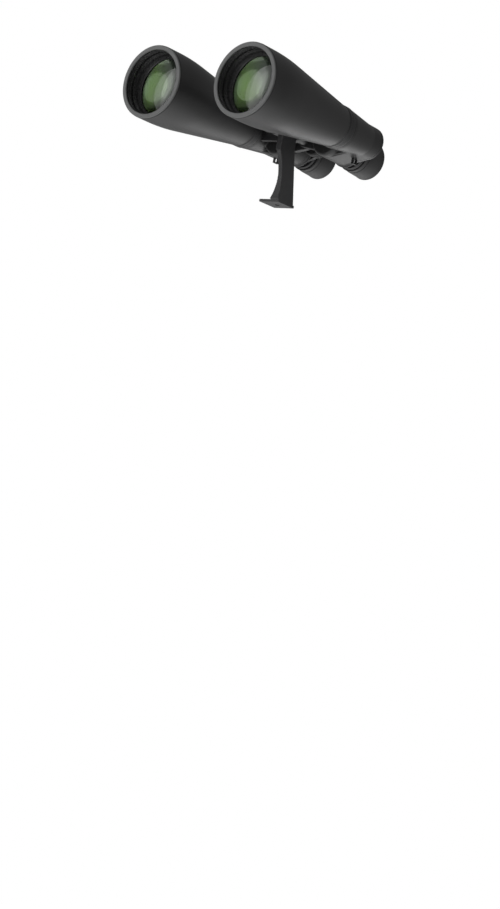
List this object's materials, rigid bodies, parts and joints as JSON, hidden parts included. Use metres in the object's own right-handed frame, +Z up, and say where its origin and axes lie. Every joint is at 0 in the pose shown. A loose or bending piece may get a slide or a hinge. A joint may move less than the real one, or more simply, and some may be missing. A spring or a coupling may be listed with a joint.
{
  "type": "tripod-mounted Porro-prism binoculars",
  "caption": "Large folding Porro-prism binoculars with centre focus, dioptre ring and rubber eyecups, held at the centre hinge by a clamp-on tripod adapter.",
  "frame": {"origin": "centre of the tripod thread on the adapter's flat underside", "axes": "+X towards the user's left barrel, +Y towards the eyepieces along the optical axes, +Z up, out of the adapter's foot"},
  "size_m": [0.2308, 0.2974, 0.1413],
  "materials": {
    "rubber_armour": "matte, very fine pebble grain",
    "eyecup_rubber": "matte soft rubber",
    "bezel_satin": "satin dark grey, fine texture",
    "body_paint": "fine wrinkle black paint",
    "inner_black": "flat anti-glare black",
    "tube_metal": "blackened inside, plain outside",
    "bracket_paint": "satin powder coat",
    "knob_plastic": "moulded, lightly sparked",
    "steel": "turned",
    "brass": "turned",
    "objective_glass": "green multi-coated",
    "optical_glass": "clear, faint blue coating"
  },
  "bodies": {
    "mount": {"adapter_bracket": "bracket_paint", "hinge_axle": "steel", "hinge_spacers": "body_paint"},
    "clamp": {"clamp_knob": "knob_plastic", "clamp_screw": "steel"},
    "left_barrel": {"objective_tube_left": "tube_metal", "tube_armour_left": "rubber_armour", "front_bezel_left": "bezel_satin", "dew_baffle_left": "inner_black", "objective_cell_left": "inner_black", "front_lens_left": "objective_glass", "second_lens_left": "optical_glass", "lens_retainer_left": "inner_black", "neck_ring_left": "body_paint", "prism_housing_left": "body_paint", "housing_armour_left": "rubber_armour", "front_prism_left": "optical_glass", "rear_prism_left": "optical_glass", "prism_shelf_left": "tube_metal", "prism_clips_left": "steel", "rear_cover_left": "body_paint", "strap_lug_left": "body_paint"},
    "right_barrel": {"objective_tube_right": "tube_metal", "tube_armour_right": "rubber_armour", "front_bezel_right": "bezel_satin", "dew_baffle_right": "inner_black", "objective_cell_right": "inner_black", "front_lens_right": "objective_glass", "second_lens_right": "optical_glass", "lens_retainer_right": "inner_black", "neck_ring_right": "body_paint", "prism_housing_right": "body_paint", "housing_armour_right": "rubber_armour", "front_prism_right": "optical_glass", "rear_prism_right": "optical_glass", "prism_shelf_right": "tube_metal", "prism_clips_right": "steel", "rear_cover_right": "body_paint", "strap_lug_right": "body_paint"},
    "focus_wheel": {"focus_wheel": "body_paint", "focus_wheel_grip": "eyecup_rubber"},
    "focus_bridge": {"focus_screw": "brass", "bridge_hub": "body_paint", "bridge_cap": "body_paint"},
    "left_eyepiece": {"bridge_arm_left": "body_paint", "eyepiece_tube_left": "body_paint", "field_lens_left": "optical_glass", "field_stop_left": "inner_black", "eye_lens_left": "optical_glass", "eye_lens_ring_left": "inner_black", "eyecup_left": "eyecup_rubber"},
    "right_carrier": {"bridge_arm_right": "body_paint"},
    "dioptre_ring": {"dioptre_ring": "body_paint"},
    "right_eyepiece": {"eyepiece_tube_right": "body_paint", "field_lens_right": "optical_glass", "field_stop_right": "inner_black", "eye_lens_right": "optical_glass", "eye_lens_ring_right": "inner_black", "eyecup_right": "eyecup_rubber"}
  },
  "joints": [
    {"name": "left_fold", "type": "hinge", "parent": "mount", "child": "left_barrel", "pos_m": [0, 0.02, 0.092], "axis": [0, 1, 0], "range_deg": [0, 36]},
    {"name": "right_fold", "type": "hinge", "parent": "mount", "child": "right_barrel", "pos_m": [0, 0.02, 0.092], "axis": [0, 1, 0], "range_deg": [-36, 0]},
    {"name": "clamp_turn", "type": "hinge", "parent": "mount", "child": "clamp", "pos_m": [0, -0.04, 0.092], "axis": [0, 1, 0], "continuous": true},
    {"name": "focus_turn", "type": "hinge", "parent": "mount", "child": "focus_wheel", "pos_m": [0, 0.05, 0.092], "axis": [0, 1, 0], "range_deg": [-31.5, 315]},
    {"name": "bridge_slide", "type": "slide", "parent": "mount", "child": "focus_bridge", "axis": [0, 1, 0], "range_m": [-0.0007, 0.007]},
    {"name": "left_eyepiece_slide", "type": "slide", "parent": "left_barrel", "child": "left_eyepiece", "axis": [0, 1, 0], "range_m": [-0.0007, 0.007]},
    {"name": "right_carrier_slide", "type": "slide", "parent": "right_barrel", "child": "right_carrier", "axis": [0, 1, 0], "range_m": [-0.0007, 0.007]},
    {"name": "dioptre_turn", "type": "hinge", "parent": "right_carrier", "child": "dioptre_ring", "pos_m": [-0.0374, 0.078, 0.0887], "axis": [0, 1, 0], "range_deg": [-60, 60]},
    {"name": "right_eyepiece_slide", "type": "slide", "parent": "right_carrier", "child": "right_eyepiece", "axis": [0, 1, 0], "range_m": [-0.001, 0.001]}
  ],
  "couplings": [
    {"joint": "right_fold", "follows": "left_fold", "ratio": -1},
    {"joint": "focus_turn", "follows": "bridge_slide", "rad_per_m": 785.39},
    {"joint": "left_eyepiece_slide", "follows": "bridge_slide", "ratio": 1},
    {"joint": "right_carrier_slide", "follows": "bridge_slide", "ratio": 1},
    {"joint": "dioptre_turn", "follows": "right_eyepiece_slide", "rad_per_m": 1047.2}
  ]
}
